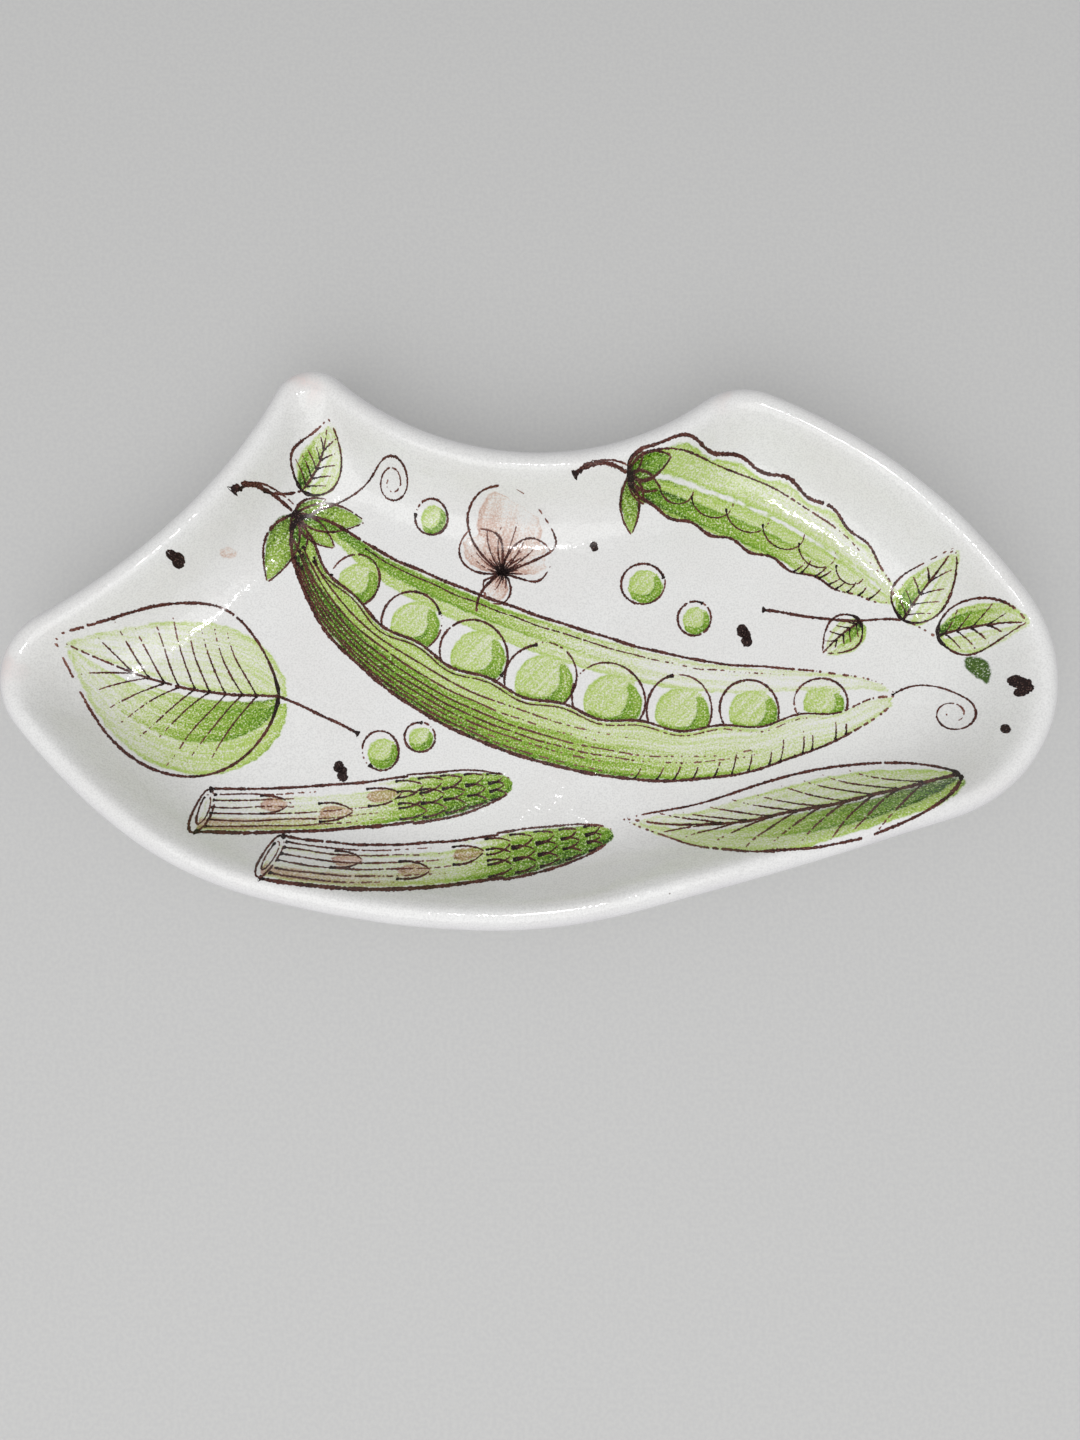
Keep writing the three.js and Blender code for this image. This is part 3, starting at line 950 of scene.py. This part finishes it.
paintOpenPod([(-0.086, 0.050), (-0.056, 0.017), (-0.004, -0.010), (0.060, -0.024), (0.134, -0.016)],
             half=0.0250, peas=8, peaRadius=0.0135)
paintCalyx((-0.087, 0.052), angle=-0.8, size=0.025,
           stalk=[(-0.105, 0.054), (-0.097, 0.058), (-0.087, 0.052)])
paintTendril([(-0.080, 0.053), (-0.066, 0.059), (-0.055, 0.067)], radius=0.0070, turns=2.0)

paintLeaf([(-0.092, -0.016), (-0.131, -0.012), (-0.166, 0.002)], half=0.032, veins=9,
          tones=(0.5, 0.26, 0.1), deep=0.6, slip=0.003, stalk=[(-0.062, -0.030), (-0.078, -0.022)])
paintLeaf([(-0.084, 0.060), (-0.0765, 0.071), (-0.0725, 0.082)], half=0.0084, veins=5, width=0.0008,
          stalk=[(-0.096, 0.0575), (-0.091, 0.0575)])

paintSpear([(-0.116, -0.058), (-0.064, -0.056), (-0.006, -0.048)], half=0.0084, tones=(0.06, 0.2, 0.45))
paintSpear([(-0.090, -0.074), (-0.036, -0.077), (0.030, -0.066)], half=0.0078, tones=(0.04, 0.22, 0.5))

paintLeaf([(0.150, -0.046), (0.106, -0.056), (0.064, -0.063), (0.034, -0.061)], half=0.0130, veins=9,
          tones=(0.6, 0.35, 0.05), deep=0.85)

paintClosedPod([(0.036, 0.062), (0.080, 0.055), (0.134, 0.020)], half=0.0140, seeds=6)
paintCalyx((0.036, 0.062), angle=-0.3, size=0.016, stalk=[(0.016, 0.060), (0.025, 0.064), (0.036, 0.062)])

# a sprig of three leaves
for leafBase, leafTip, leafHalf in (
    ((0.138, 0.012), (0.150, 0.034), 0.0095),
    ((0.150, 0.006), (0.173, 0.007), 0.0095),
    ((0.122, 0.012), (0.108, 0.000), 0.0066),
):
    leafMiddle = (np.array(leafBase) + np.array(leafTip)) / 2 + 0.0015
    paintLeaf([leafBase, leafMiddle, leafTip], leafHalf, veins=4, tones=(0.55, 0.3, 0.12), deep=0.7,
              width=0.0008)
penCurve([(0.086, 0.016), (0.116, 0.012), (0.138, 0.012), (0.152, 0.004)], width=0.0011, blob=1.5)
paintTendril([(0.133, -0.016), (0.146, -0.012), (0.158, -0.018)], radius=0.007, turns=1.7)

paintBlossom((-0.010, 0.030), angle=1.25, size=0.027)
penCurve([(-0.010, 0.030), (-0.018, 0.022), (-0.019, 0.012)], width=0.0011, blob=0.6)

for peaPlace, peaSize in (((0.042, 0.026), 0.0080), ((0.061, 0.013), 0.0064), ((-0.036, 0.050), 0.0060),
                          ((-0.054, -0.036), 0.0070), ((-0.040, -0.031), 0.0056)):
    paintPea(peaPlace, peaSize, tone=0.42)

for dabPlace, dabSize, dabCount in (
    ((0.080, 0.007), 0.0042, 3), ((-0.068, -0.043), 0.0038, 3), ((0.024, 0.040), 0.0036, 1),
    ((0.172, -0.014), 0.0040, 3), ((-0.124, 0.030), 0.0036, 2), ((0.166, -0.030), 0.0032, 1),
):
    paintDabs(dabPlace, dabSize, dabCount)

# a deep green touch and a faint pink spot
deepDab = bentLine([(0.158, -0.003), (0.162, -0.007), (0.164, -0.013)])
brush("accent", deepDab, bladeHalf(deepDab, 0.0030), (0, 1, 0.867), (0.95, 1.05))
stain = bentLine([(-0.1115, 0.0345), (-0.109, 0.0355), (-0.1065, 0.036)])
brush("blush", stain, roundEnds(stain, 0.0016, 0.4), (0, 1, 0.875), (0.16, 0.06))
print("painting laid out, pen lines:", len(penRuns), "washes:", sum(len(w) for w in washLayers.values()))

# Places on the finished face

# the face as inset and height from the rim inwards, and its slope: each inset is a hair past the last
hair = 1e-9
faceSection = np.vstack(sectionCurves(fineness["wellTrials"], fineness["lipTrials"], 2)[:2])[::-1]
faceRun = np.maximum.accumulate(faceSection[:, 0]) + hair * np.arange(len(faceSection))
faceSlope = np.gradient(faceSection[:, 1], faceRun)


# how far in from the rim plan places lie, and which way leads further in: the least over the edges and
# rounds that face a place. For an edge, the distance to its arc; for a round, between the first two trial
# insets that have the place on either side
def insetAt(places):
    p = np.asarray(places, float) + planCentre
    deepest = dishSection["footInset"]
    best = np.full(len(p), deepest)
    inward = np.zeros_like(p)

    def take(rows, inset, arm):
        better = inset < best[rows]
        best[rows[better]] = inset[better]
        inward[rows[better]] = unit(arm)[better]

    for k in range(cornerCount):
        arm = (p - edgeCentre[k]) * edgeSense[k]
        inset = edgeSense[k] * (edgeRadius[k] - np.linalg.norm(p - edgeCentre[k], axis=1))
        held = np.clip(inset, 0, deepest)
        first = facing(k, k, held)
        turn = np.mod(edgeSense[k] * (facing((k + 1) % cornerCount, k, held) - first), 2 * np.pi)
        past = np.mod(edgeSense[k] * (np.arctan2(arm[:, 1], arm[:, 0]) - first), 2 * np.pi)
        rows = np.flatnonzero((past <= turn) & (inset > 0) & (inset < deepest))
        take(rows, inset[rows], -arm[rows])
    trial = np.linspace(0, deepest, fineness["insetTrials"])
    for k in range(cornerCount):
        centre, radius, first, turn = roundArc(k, trial)
        reach = np.linalg.norm(p - cornerPlace[k], axis=1)
        rows = np.flatnonzero(reach < rimRound[k] + wellRound[k] + deepest)
        arm = p[rows, None] - centre
        beyond = np.linalg.norm(arm, axis=2) - radius
        faces = np.mod(np.arctan2(arm[..., 1], arm[..., 0]) - first, 2 * np.pi) <= turn
        between = (beyond[:, :-1] < 0) != (beyond[:, 1:] < 0)
        between &= faces[:, :-1] | faces[:, 1:]
        found = np.flatnonzero(between.any(axis=1))
        at = between[found].argmax(axis=1)
        before, after = beyond[found, at], beyond[found, at + 1]
        inset = trial[at] + trial[1] * before / (before - after)
        take(rows[found], inset, -arm[found, at])
    return best, inward


# inside the rim: a line to the right crosses it an odd number of times; every fourth rim place is enough
def insideRim(places):
    x, y = places[:, 0, None], places[:, 1, None]
    a, b = rimRow[None, ::4], np.roll(rimRow[::4], -1, axis=0)[None]
    spans = (a[..., 1] > y) != (b[..., 1] > y)
    rise = np.where(spans, b[..., 1] - a[..., 1], 1)
    crossing = a[..., 0] + (y - a[..., 1]) * (b[..., 0] - a[..., 0]) / rise
    return ((spans & (crossing > x)).sum(axis=1) % 2) == 1


# the finished face over plan places, from the section curve at their inset, and which way it faces there
def facePlace(plan):
    inset, inward = insetAt(plan.reshape(-1, 2))
    height = np.interp(inset, faceSection[:, 0], faceSection[:, 1])
    slope = np.interp(inset, faceSection[:, 0], faceSlope)
    normal = unit(np.concatenate([-slope[:, None] * inward, np.ones((len(inset), 1))], axis=1))
    place = np.concatenate([plan.reshape(-1, 2), height[:, None]], axis=1)
    return place.reshape(*plan.shape[:-1], 3), normal.reshape(*plan.shape[:-1], 3)


# Pieces

# gives a finished piece its material and its body, and hides the solid that it stands for
def finishPiece(piece, material, slotName, *nodes):
    piece.data.materials.append(material)
    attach(piece, "root")
    if nodes:
        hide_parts(*nodes)
    print("made", piece.name, "faces:", len(piece.data.polygons))


# how far the glaze runs thin from the rim on the face and the back, where its blue-grey is also painted
# shade and painted reflection, from the foot, and over the base
thinningAndShade = dict(face=0.0028, back=0.002, foot=0.0012, baseStart=0.9, basePower=6)
# how far the glaze is rubbed through on corners of the lip, and the reach of the rubbing
cornerWear = dict(corners=dict(leftTip=0.5, shoulder=0.9, crown=0.4), spread=0.007, lipShare=0.6)


# how far the glaze is rubbed through: a bell about the middle of each worn corner on the lip
def wornAt(points):
    lipRow = outlineRows([dishSection["lipInset"] * cornerWear["lipShare"]])[0]
    worn = np.zeros(len(points))
    for corner, wear in cornerWear["corners"].items():
        aim = np.array(rimCorners[corner]["place"]) - planCentre
        middle = lipRow[nearest(aim[None], lipRow)[0]]
        away = np.linalg.norm(points - [*middle, dishSection["height"]], axis=1)
        worn = np.maximum(worn, wear * bell(away, cornerWear["spread"]))
    return worn


outsideWash = -5.0  # millimetres inside a wash, where there is none


# a layer's washes at each place: millimetres inside the nearest one, its tone, and the place along and
# across its stroke, measured from the nearest step of its spine
def layWashes(plan, brushes):
    edge, tone = np.full(len(plan), outsideWash), np.zeros(len(plan))
    stroke = np.zeros((len(plan), 3))
    for number, b in enumerate(brushes):
        spine, left, right = b["spine"], b["left"], b["right"]
        reach = max(np.abs(left).max(), np.abs(right).max()) + brushForm["reach"]
        low, high = spine.min(axis=0) - reach, spine.max(axis=0) + reach
        near = np.flatnonzero(((plan > low) & (plan < high)).all(axis=1))
        step = nearest(plan[near], spine)
        side = leftOf(spine)[step]
        off = plan[near] - spine[step]
        across = (off * side).sum(axis=1)
        beyond = off[:, 0] * side[:, 1] - off[:, 1] * side[:, 0]
        inside = np.minimum(left[step] - across, across + right[step])
        atEnd = (step == 0) | (step == len(spine) - 1)
        inside = np.where(atEnd, np.minimum(inside, -np.abs(beyond)), inside)
        if b["within"] is not None:
            inside = np.minimum(inside, b["within"](plan[near]))
        inside = inside * millimetres
        span = np.maximum(left + right, brushForm["leastSpan"])[step]
        lean = b["lean"] * ((across + right[step]) / span * 2 - 1)
        along = (b["gone"][step] + beyond) * bristle["along"]
        apart = np.full(len(near), number * bristle["apart"])
        place = np.stack([along, across * bristle["across"], apart], axis=1)
        better = inside > edge[near]
        taken = near[better]
        edge[taken] = inside[better]
        tone[taken] = (b["tones"][step] + lean)[better]
        stroke[taken] = place[better]
    return edge, tone, stroke


faceMap = dict(margin=0.01, topShare=0.82)


# a flat map of the face for later baking: the plan over most of it, and the hidden side pressed into a
# strip, where a face with any hidden corner goes whole
def flatMap(piece, plan, onTop):
    mesh = piece.data
    corner = np.empty(len(mesh.loops), np.int32)
    mesh.loops.foreach_get("vertex_index", corner)
    first = np.empty(len(mesh.polygons), np.int32)
    mesh.polygons.foreach_get("loop_start", first)
    whole = np.logical_and.reduceat(onTop[corner], first)
    shown = np.repeat(whole, np.diff(np.append(first, len(corner))))
    low, high = plan.min(axis=0), plan.max(axis=0)
    across, up = ((plan - low) / (high - low)).T[:, corner]
    edge, share = faceMap["margin"], faceMap["topShare"]
    up = np.where(shown, edge + up * (share - 2 * edge), share + edge + up * (1 - share - 2 * edge))
    across = edge + across * (1 - 2 * edge)
    layer = mesh.uv_layers.new(name="OFBake")
    layer.data.foreach_set("uv", np.stack([across, up], axis=1).astype(np.float32).ravel())


# the face glaze: floor, well and lip on top, and the same sunk by its thickness beneath, with fewer rows
def makeFaceGlaze():
    s = dishSection
    topSkin = np.arange(0, rimIndex + 1)
    underSkin = np.r_[rimIndex:fineness["wellRows"] - 1:-2, fineness["wellRows"] - 1:-1:-3]
    top, under = sunkRows(0, topSkin), sunkRows(s["glaze"], underSkin)
    floor = floorRows(top[0], fineness["floorRows"])
    rows = np.concatenate([floor, top, under])
    poles = [floorPole(s["floorHeight"]), floorPole(s["floorHeight"] - s["glaze"])]
    piece = ringMesh("glazed_face", rows, poles=poles)
    points = np.vstack([rows.reshape(-1, 3), poles])
    rowInset = np.full(len(rows), s["footInset"])
    rowInset[len(floor):len(floor) + len(top)] = skinSection[topSkin, 0]
    inset = np.append(np.repeat(rowInset, aroundCount), [s["footInset"]] * 2)
    onTop = np.append(np.repeat(np.arange(len(rows)) < len(floor) + len(top), aroundCount), [True, False])
    # glaze thinning to the lip's outer edge, where its blue-grey is also painted shade and painted
    # reflection
    vertexLayer(piece, "thinAndShade", bell(inset, thinningAndShade["face"]))
    vertexLayer(piece, "worn", wornAt(points))
    plan = points[:, :2]
    fromRim = (inset - brushForm["rimMargin"]) * millimetres
    for layer, brushes in washLayers.items():
        edge, tone, stroke = layWashes(plan, brushes)
        vertexLayer(piece, layer + "Edge", np.where(onTop, np.minimum(edge, fromRim), outsideWash))
        vertexLayer(piece, layer + "Tone", tone)
        vertexLayer(piece, layer + "Stroke", stroke)
    flatMap(piece, plan, onTop)
    finishPiece(piece, paintedGlaze, "painted_glaze", "face_glaze")


# pen lines: a thin crowned band carried along each line, just proud of the glaze and rooted in it. A line
# is cut where its width runs out or it comes to the lip, and each run of it is a closed strip
def makePenLines():
    form = penForm
    across = np.array([1, 0, -1])
    corners = len(across) + 1
    allPlaces = np.concatenate([path for path, wide, load in penRuns])
    ends = np.cumsum([len(path) for path, wide, load in penRuns])[:-1]
    onFace = insideRim(allPlaces) & (insetAt(allPlaces)[0] > form["rimMargin"])
    strips = []
    for (path, wide, load), shown in zip(penRuns, np.split(onFace, ends)):
        drawn = np.concatenate([[False], (wide > form["least"]) & shown, [False]])
        turns = np.flatnonzero(np.diff(drawn.astype(int)))
        for first, last in zip(turns[::2], turns[1::2]):
            if last - first < 2:
                continue
            half = wide[first:last] / 2
            half[[0, -1]] /= 2
            strips.append((path[first:last], leftOf(path[first:last]), half, load[first:last]))
    line, left, half, load = (np.concatenate(run) for run in zip(*strips))
    frayed = half[:, None] + draws.normal(0, form["fray"], (len(half), len(across)))
    plan = line[:, None] + left[:, None] * (np.maximum(frayed, form["least"] / 3) * across)[..., None]
    place, normal = facePlace(plan)
    under = place[:, [1]] - normal[:, [1]] * form["sunk"]
    section = np.concatenate([place + normal * form["proud"], under], axis=1)
    index = np.arange(len(line) * corners).reshape(len(line), corners)
    onward = np.roll(np.arange(corners), -1)
    quads = np.stack([index[:-1], index[:-1][:, onward], index[1:][:, onward], index[1:]], axis=-1)
    lengths = np.array([len(strip[0]) for strip in strips])
    stops = np.cumsum(lengths)
    kept = np.ones(len(line) - 1, bool)
    kept[stops[:-1] - 1] = False
    faces = quads[kept].reshape(-1, 4).tolist()
    faces += index[stops - lengths][:, ::-1].tolist() + index[stops - 1].tolist()
    piece = meshPiece("pen_lines", settle(section.reshape(-1, 3)), faces)
    vertexLayer(piece, "load", np.repeat(load, corners))
    finishPiece(piece, penBrown, "painted_glaze")


# the back glaze: from just under the rim's widest line down to the foot, a shell of the glaze's thickness
def makeBackGlaze():
    s = dishSection
    skin = np.arange(rimIndex, len(skinRows))
    outer, inner = sunkRows(0, skin), sunkRows(s["glaze"], skin[::2])
    outer[0, :, 2] -= s["rimJoin"]
    inner[0, :, 2] -= s["rimJoin"]
    stop = s["footInset"] - s["seamGap"]
    base = s["footHeight"] - s["coat"]
    ends = liftedRows(np.array([[stop, base], [stop, base + s["glaze"]]]))
    rows = np.concatenate([outer, ends, inner[::-1]])
    piece = ringMesh("glazed_back", rows, looped=True)
    inset = np.concatenate([skinSection[skin, 0], [stop, stop], skinSection[skin[::2], 0][::-1]])
    # glaze thinning to the rim, where its blue-grey is also painted shade and painted reflection, and
    # thinning to the foot
    thinAndShade = np.maximum(bell(inset, thinningAndShade["back"]), bell(inset - stop, thinningAndShade["foot"]))
    vertexLayer(piece, "thinAndShade", np.repeat(thinAndShade, aroundCount))
    vertexLayer(piece, "worn", wornAt(rows.reshape(-1, 3)))
    finishPiece(piece, plainGlaze, "plain_glaze", "back_glaze")


# the base glaze: a thin slab inside the foot ring, thinnest against the ring
def makeBaseGlaze():
    s = dishSection
    edge = s["footInset"] + s["footWidth"] + s["seamGap"]
    lower = s["footHeight"] - s["coat"]
    upper = lower + s["glaze"]
    count = fineness["baseRows"]
    piece = flooredMesh("glazed_base", liftedRows(np.array([[edge, upper], [edge, lower]])), count)
    fading = np.linspace(thinningAndShade["baseStart"], 0, count - 1) ** thinningAndShade["basePower"]
    thinAndShade = np.concatenate([np.zeros(count - 1), [1, 1], fading])
    vertexLayer(piece, "thinAndShade", np.append(np.repeat(thinAndShade, aroundCount), [0, 0]))
    finishPiece(piece, plainGlaze, "plain_glaze", "base_glaze")


footForm = dict(bevel=0.001, bevelRows=5)


# the bare foot ring: its section, rounded at both bottom arrises, carried round the dish
def makeFootRing():
    outer, height = dishSection["footInset"], dishSection["footHeight"]
    inner = outer + dishSection["footWidth"]
    bevel = footForm["bevel"]
    angle = np.linspace(0, np.pi / 2, footForm["bevelRows"])
    outerRound = np.stack([outer + bevel * (1 - np.cos(angle)), bevel * (1 - np.sin(angle))], axis=1)
    innerRound = np.stack([inner - bevel * (1 - np.sin(angle)), bevel * (1 - np.cos(angle))], axis=1)
    middle = [[(outer + inner) / 2, 0]]
    section = np.vstack([[[outer, height]], outerRound, middle, innerRound, [[inner, height]]])
    piece = ringMesh("bare_foot", liftedRows(section), looped=True)
    finishPiece(piece, bareClay, "bare_clay", "foot_ring")


# the clay body, one coat below the finished surface all over, with every second row of the skin
def makeBody():
    skin = np.unique(np.r_[np.arange(0, len(skinRows), 2), len(skinRows) - 1])
    piece = flooredMesh("clay_body", sunkRows(dishSection["coat"], skin), fineness["bodyFloorRows"])
    finishPiece(piece, bareClay, "bare_clay", "earthenware_body")


makeFaceGlaze()
makePenLines()
makeBackGlaze()
makeBaseGlaze()
makeFootRing()
makeBody()

# Floor, light and camera

studio = dict(
    floorSize=60.0, floorSteps=9, floorDrop=0.0001, floorColour=colour(205, 205, 204),
    floorGrain=colour(200, 200, 200), grainScale=700, farColour=colour(254, 254, 254),
    paleFrom=0.7, paleTo=3.5, floorRoughness=0.85, floorSpecular=0.2,
    worldLevel=0.485, lampAim=(0.0, 0.0, 0.02),
    keyPlace=(0.0, -0.33, 1.90), keySize=0.09, keyPower=7.8,
    softPlace=(-0.25, -1.15, 1.45), softSize=2.0, softPower=13.8,
)
cameraForm = dict(place=(0.00397, -0.06766, 0.4194), tilt=6.0, lens=28.0, clipStart=0.01)


# a flat grid that pales away from the dish, so that it meets the world in an even tone
def makeFloor():
    half = studio["floorSize"] / 2
    steps = np.linspace(-half, half, studio["floorSteps"])
    x, y = np.meshgrid(steps, steps)
    points = np.stack([x.ravel(), y.ravel(), np.full(x.size, -studio["floorDrop"])], axis=1)
    index = np.arange(x.size).reshape(x.shape)
    quads = np.stack([index[:-1, :-1], index[:-1, 1:], index[1:, 1:], index[1:, :-1]], axis=-1)
    floor = meshPiece("floor", points, quads.reshape(-1, 4).tolist())
    material, tree, shader = newMaterial("floor_paper")
    place = objectPlace(tree)
    grain = addEase(tree, addNoise(tree, place, studio["grainScale"], 2.0), 0.3, 0.7)
    tone = addMix(tree, grain, studio["floorColour"], studio["floorGrain"])
    away = addNode(tree, "ShaderNodeVectorMath", {0: place}, operation="LENGTH").outputs["Value"]
    paling = addEase(tree, away, studio["paleFrom"], studio["paleTo"])
    fill(tree, shader, {"Base Color": addMix(tree, paling, tone, studio["farColour"]),
                        "Roughness": studio["floorRoughness"],
                        "Specular IOR Level": studio["floorSpecular"]})
    floor.data.materials.append(material)


# a round lamp turned to the dish: tilted by its slope from upright, then turned about the upright
def makeLamp(name):
    light = bpy.data.lights.new(name, "AREA")
    light.shape = "DISK"
    light.size = studio[name + "Size"]
    light.energy = studio[name + "Power"]
    lamp = bpy.data.objects.new(name, light)
    bpy.context.scene.collection.objects.link(lamp)
    lamp.location = studio[name + "Place"]
    x, y, z = np.array(studio[name + "Place"]) - np.array(studio["lampAim"])
    lamp.rotation_euler = (math.atan2(math.hypot(x, y), z), 0, math.atan2(x, -y))


# even light from all round
def makeWorld():
    world = bpy.data.worlds.new("studio")
    world.use_nodes = True
    backdrop = world.node_tree.nodes["Background"].inputs
    fill(world.node_tree, backdrop, {"Color": (1.0, 1.0, 1.0, 1.0), "Strength": studio["worldLevel"]})
    bpy.context.scene.world = world


# the camera, nearly upright above the dish
def makeCamera():
    camera = bpy.data.objects.new("camera", bpy.data.cameras.new("camera"))
    bpy.context.scene.collection.objects.link(camera)
    camera.location = cameraForm["place"]
    camera.rotation_euler = (math.radians(cameraForm["tilt"]), 0, 0)
    camera.data.lens = cameraForm["lens"]
    camera.data.clip_start = cameraForm["clipStart"]
    bpy.context.scene.camera = camera


makeFloor()
for lampName in ("key", "soft"):
    makeLamp(lampName)
makeWorld()
makeCamera()
bpy.context.scene.view_settings.view_transform = "Standard"
print("studio set")
